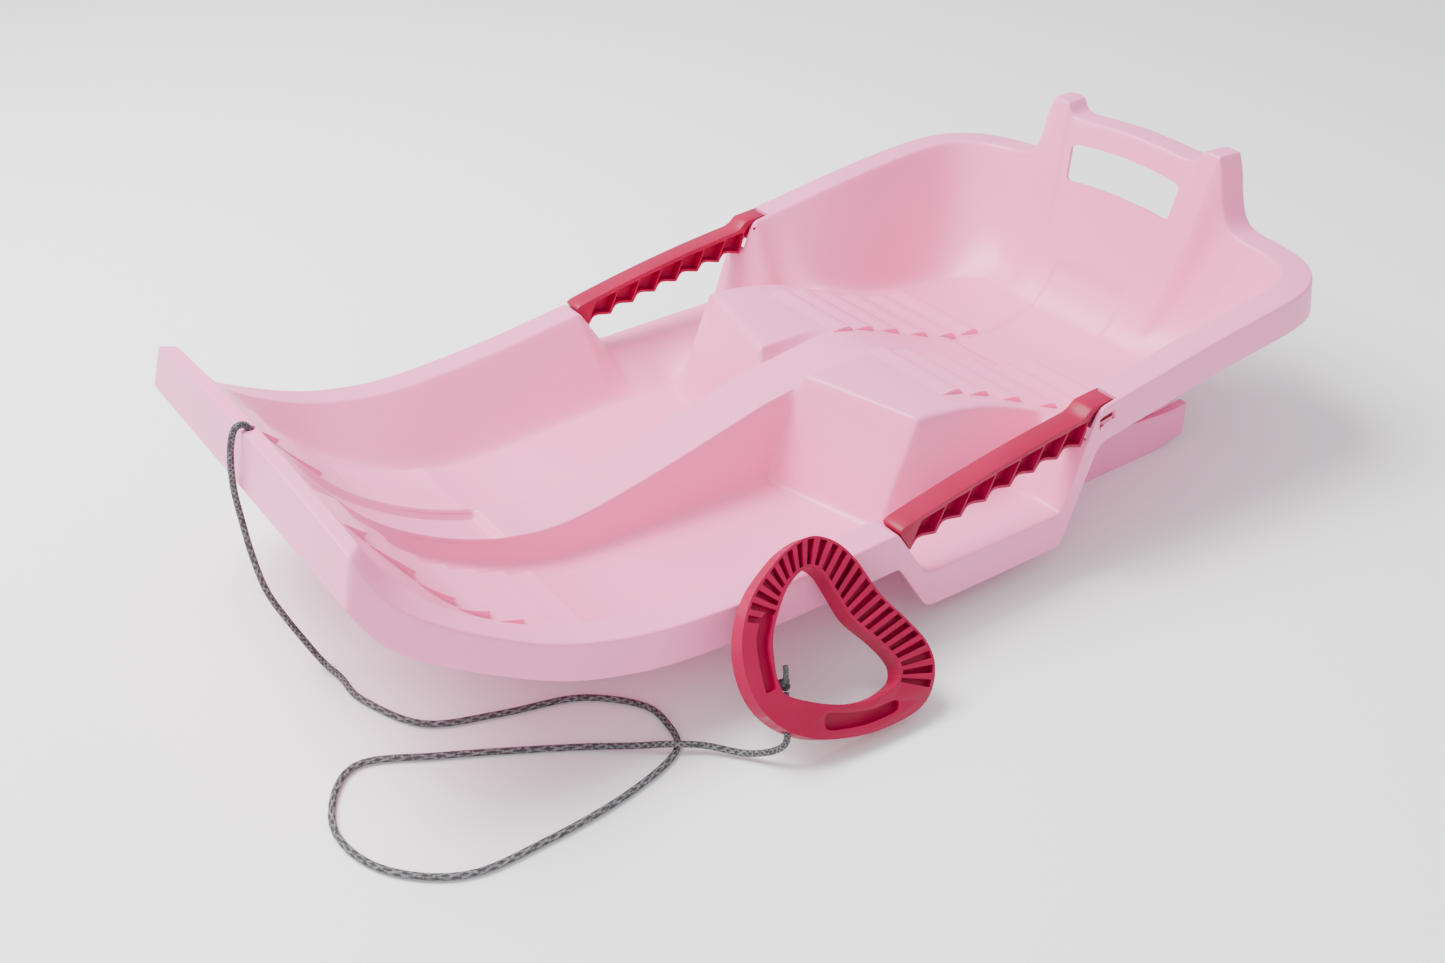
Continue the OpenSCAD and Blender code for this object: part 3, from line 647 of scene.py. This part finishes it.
wave_x0 = front_face(grip_z(LEVER_X + 12) - WAVE_D)
wave_x1 = back_face(grip_z(POST_X) - WAVE_D)
pitch = (wave_x1 - wave_x0) / WAVES


def wave_at(k, u, raise_by=0):
    x = wave_x0 + (k + 1 - u) * pitch
    return x, grip_z(x) - WAVE_D + raise_by + TROUGH * straight(WAVE, u)


side_view = [(wave_x0, grip_z(wave_x0) - WAVE_D), (front_face(SHOULDER_H - 3), SHOULDER_H - 3),
             (LEVER_X - 1.6, SHOULDER_H + 0.5), (LEVER_X - 0.9, SHOULDER_H + 1.7),
             (LEVER_X + 0.4, SHOULDER_H + 2.6)]
side_view += [(LEVER_X + s * GRIP_L, grip_z(LEVER_X + s * GRIP_L))
              for s in [0.015 + 0.04 * n for n in range(25)]]
side_view += [(POST_X + 1, POST_H - 4.4), (POST_X + 4, POST_H - 1.8), (POST_X + 7, POST_H + 0.7),
              (POST_X + 9.5, POST_H + 1.6), (POST_X + TONGUE_L, POST_H + 3), (POST_X + TONGUE_L - 1, POST_H - 1),
              (POST_X + 12, POST_H - 3), (POST_X + 5, POST_H - 12), (back_face(PIN_Z - 4), PIN_Z - 4)]
side_view += [wave_at(k, u) for k in range(WAVES - 1, -1, -1) for u, _ in WAVE[:-1]]


def pocket(k):
    x0 = wave_x0 + k * pitch
    back = min(x0 + pitch - RIB_T / 2 + 9, back_face(grip_z(POST_X) - PLATE_T) - 3)
    top = [(x0 + RIB_T / 2 + 9, grip_z(x0 + 9) - PLATE_T), (back, grip_z(x0 + pitch) - PLATE_T)]
    along_wave = (0.06, 0.12, 0.2, 0.32, 0.42, 0.52, 0.62, 0.74, 0.8, 0.86, 0.94)
    return top + [wave_at(k, u, FLANGE_T) for u in along_wave]


arm_a = math.atan2(161 - 139, 289 - 134) - math.radians(1)
HUB_R, HUB_W, PIVOT_R = 6.7, 12, 2.55
hub = circle(PIN_X, PIN_Z, HUB_R)
neck = [(PIN_X - 5.7, PIN_Z), (PIN_X + HUB_R, PIN_Z + 2), (POST_X + TONGUE_L - 6, POST_H), (POST_X + 3, POST_H - 3)]
arm = [(0, -6.1), (134, -5), (140, -9), (150, -4), (150, 4.5), (0, 5.7)]
arm = [(PIN_X + u * math.cos(arm_a) - v * math.sin(arm_a), PIN_Z + u * math.sin(arm_a) + v * math.cos(arm_a))
       for u, v in arm]

crimson = Finish("crimson_nylon", Roughness=0.45, Specular_IOR_Level=0.25)
place = crimson.place()
grain = crimson.noise(place, 1200.0, 2.0)
streak = crimson.noise(place, 14.0, 3.0)
crimson_nylon = crimson.feed(
    Base_Color=crimson.ramp(streak, (0.3, (0.29, 0.0, 0.036)), (0.7, (0.35, 0.0, 0.046))),
    Roughness=grain * 0.2 + 0.3, Normal=crimson.bump(grain, 0.00004, 0.5))


def soften(piece, width, finish, corner=35):
    """Moulded edges: a small round on every corner sharper than this, then the finish."""
    round_off = piece.modifiers.new("round_off", "BEVEL")
    round_off.width, round_off.segments, round_off.limit_method = width * MM, 2, "ANGLE"
    round_off.angle_limit = math.radians(corner)
    settle(piece)
    for face in piece.data.polygons:
        face.use_smooth = True
        face.material_index = 0
    piece.data.set_sharp_from_angle(angle=math.radians(corner))
    piece.data.materials.clear()
    piece.data.materials.append(finish)


for name, side in (("left", 1), ("right", -1)):
    lever = new_piece("brake_lever_" + name, joined([prism(side_view, LEVER_W, side_on(side * LEVER_Y))]))
    for part in (hub, neck, arm):
        cut(lever, [prism(part, HUB_W, side_on(side * LEVER_Y))], "UNION")
    depth = (LEVER_W - WEB_T) / 2
    pockets = [prism(pocket(k), depth + 1, side_on(side * LEVER_Y + face * (LEVER_W / 2 - depth / 2 + 0.5)))
               for k in range(WAVES) for face in (-1, 1)]
    pivot = prism(circle(PIN_X, PIN_Z, PIVOT_R), 40, side_on(side * LEVER_Y))
    cut(lever, pockets + [pivot])
    soften(lever, 0.45, crimson_nylon)
    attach(lever, "brake_" + name)
    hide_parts("lever_" + name)

# The ring handle is one crimson moulding, a rounded triangle for one gloved hand. Slots
# across its top and right limbs save plastic; the rope passes through the boss at its foot.
RING_T = 18.0
RING_OUT = [(45, 148), (25, 146), (6, 138), (-17, 123), (-34, 101), (-42, 77), (-41, 52), (-30, 31), (-10, 15),
            (14, 6), (41, 1), (75, 2), (94, 11), (105, 28), (105, 46), (96, 66), (82, 91), (73, 120), (62, 138)]
RING_IN = [(31, 128), (11, 119), (-10, 95), (-18, 74), (-20, 58), (-15, 48), (15, 31), (46, 23), (68, 26), (75, 34),
           (74, 44), (66, 60), (52, 82), (47, 103), (42, 121)]
leaning = (Matrix.Translation((MOVE_X - 203, -320, 6.6)) @ Matrix.Rotation(math.radians(-3), 4, "Z")
           @ Matrix.Rotation(math.radians(90 - 38.7), 4, "X"))
outline = [(p.x, p.y) for p in through([(u, v, 0) for u, v in RING_OUT], 8, closed=True)]
window = [(p.x, p.y) for p in through([(u, v, 0) for u, v in RING_IN], 8, closed=True)]
ring = new_piece("ring_handle", joined([prism(outline, RING_T, leaning)]))
POCKET_D = RING_T * 0.35
faces = [leaning @ Matrix.Translation((0, 0, s * RING_T / 2)) for s in (-1, 1)]
left_limb = [(-32, 60), (-30, 57), (-25, 57), (-23, 60), (-18, 86), (-7, 103), (-9, 108), (-14, 108), (-26, 92)]
foot_limb = [(4, 16), (20, 11), (38, 8), (60, 8), (64, 11), (63, 16), (42, 17), (22, 22), (8, 27), (3, 22)]
hollows = [prism([(p.x, p.y) for p in through([(u, v, 0) for u, v in limb], 4, closed=True)], 2 * POCKET_D, at)
           for limb in (left_limb, foot_limb) for at in faces]


limb = [((-30, 107), (-8, 97)), ((-17, 123), (1, 108)), ((6, 138), (11, 119)), ((25, 146), (22, 125.5)),
        ((45, 148), (34, 127.5)), ((62, 138), (42, 121)), ((73, 120), (47, 103)), ((82, 91), (52, 82)),
        ((96, 66), (66, 60)), ((105, 46), (74, 44)), ((105, 28), (75, 34)), ((94, 11), (69, 27))]
outer = through([(*far, 0) for far, _ in limb], 12)
inner = through([(*near, 0) for _, near in limb], 12)
reach = [0.0]
for n in range(1, len(outer)):
    reach.append(reach[-1] + ((outer[n] + inner[n] - outer[n - 1] - inner[n - 1]) / 2).length)
GRIP_SLOTS = 25


def across(t, margin):
    """The two ends of a line across the limb, t of the way along the grip."""
    n = next(n for n in range(1, len(reach)) if reach[n] >= t * reach[-1] - 1e-6)
    f = (t * reach[-1] - reach[n - 1]) / (reach[n] - reach[n - 1])
    far, near = outer[n - 1].lerp(outer[n], f), inner[n - 1].lerp(inner[n], f)
    way = (far - near).normalized()
    return [(p.x, p.y) for p in (near + way * (margin + 1), far - way * margin)]


for n in range(GRIP_SLOTS):
    middle, half = (n + 0.5) / GRIP_SLOTS, 0.27 / GRIP_SLOTS
    slot_outline = across(middle - half, 1.8) + across(middle + half, 1.8)[::-1]
    hollows += [prism(slot_outline, 2 * POCKET_D, at) for at in faces]
eye = leaning @ Matrix.Translation((-25, 22, 0)) @ Matrix.Rotation(math.radians(68), 4, "Z") @ Matrix.Rotation(
    math.radians(90), 4, "Y") @ Matrix.Translation((0, 0, 14))
EYE_R, EYE_L = 3.5, 52
hollows.append(prism(circle(0, 0, EYE_R, 32), EYE_L, eye))
hollows.append(prism(window, RING_T + 4, leaning))
for hollow in hollows:
    cut(ring, [hollow])
soften(ring, 1.1, crimson_nylon, 50)
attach(ring, "sled")
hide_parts("pull_ring")

# An overhand knot stops the rope at each end: one under the front rim, one inside the ring.
KNOT_R = ROPE_D * 1.06


def overhand(size, place, tail):
    turns = [Vector((math.sin(t) + 2 * math.sin(2 * t), math.cos(t) - 2 * math.cos(2 * t),
                     -1.2 * math.sin(3 * t)))
             for t in [math.tau * n / 60 for n in range(58)]]
    return [place @ (q * size * 0.19) for q in turns] + [place @ Vector(q) for q in tail]


upright = Matrix.Translation((MOVE_X + ROPE_HOLE_X, 0, NOSE_H - 15.6))
ring_place = leaning @ Matrix.Translation((-12.1, 57.2, 0))
TAIL = ((3, 5, 1), (4, 9, 2), (4.5, 12, 2.5))
knots = (("rim_knot_cord", "rim_knot", overhand(KNOT_R, upright, ())),
         ("ring_knot_cord", "ring_knot", overhand(KNOT_R * 1.1, ring_place, TAIL)))
for name, node, line in knots:
    knot = lay_cord(name, line, ROPE_D * 0.8)
    knot.data.materials.append(braid_grey)
    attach(knot, "sled")
    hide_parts(node)
[tuple(p * MM) for p in rope_line]

# The pivot pins are plain steel, snapped into lugs inside the rim.
steel = Finish("pin_steel", Metallic=1.0, Roughness=0.35)
drawn = steel.noise(steel.place(), 300.0, 2.0)
pin_steel = steel.feed(Base_Color=steel.ramp(drawn, (0.3, (0.50, 0.50, 0.52)), (0.7, (0.66, 0.66, 0.68))),
                       Roughness=drawn * 0.2 + 0.25)
for node in ("pin_left", "pin_right"):
    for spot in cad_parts[node].material_slots:
        spot.material = pin_steel

# The stage is a pale sheet of paper under soft studio lamps.
ground = new_piece("ground", bpy.data.meshes.new("ground"))
plane = bmesh.new()
bmesh.ops.create_grid(plane, x_segments=1, y_segments=1, size=6)
bmesh.ops.transform(plane, matrix=Matrix.Translation((0, 0, -0.0002)), verts=plane.verts)
plane.to_mesh(ground.data)
plane.free()
paper = Finish("pale_paper", Base_Color=(0.93, 0.93, 0.935, 1), Roughness=0.75)
ground.data.materials.append(paper.material)
world = bpy.data.worlds.new("studio")
bpy.context.scene.world = world
world.use_nodes = True
world.node_tree.nodes["Background"].inputs[0].default_value = (0.95, 0.96, 1, 1)
world.node_tree.nodes["Background"].inputs[1].default_value = 0.95
for name, place, aim, size, power in (
        ("key_light", (-0.9, 0.9, 2.2), (0, 0, 0.1), 1.5, 150),
        ("fill_light", (-1.6, -1.7, 1.5), (0, 0, 0.1), 1.8, 18)):
    lamp = bpy.data.objects.new(name, bpy.data.lights.new(name, "AREA"))
    lamp.data.size, lamp.data.energy = size, power
    lamp.location = place
    lamp.rotation_euler = (Vector(aim) - Vector(place)).to_track_quat("-Z", "Y").to_euler()
    bpy.context.scene.collection.objects.link(lamp)
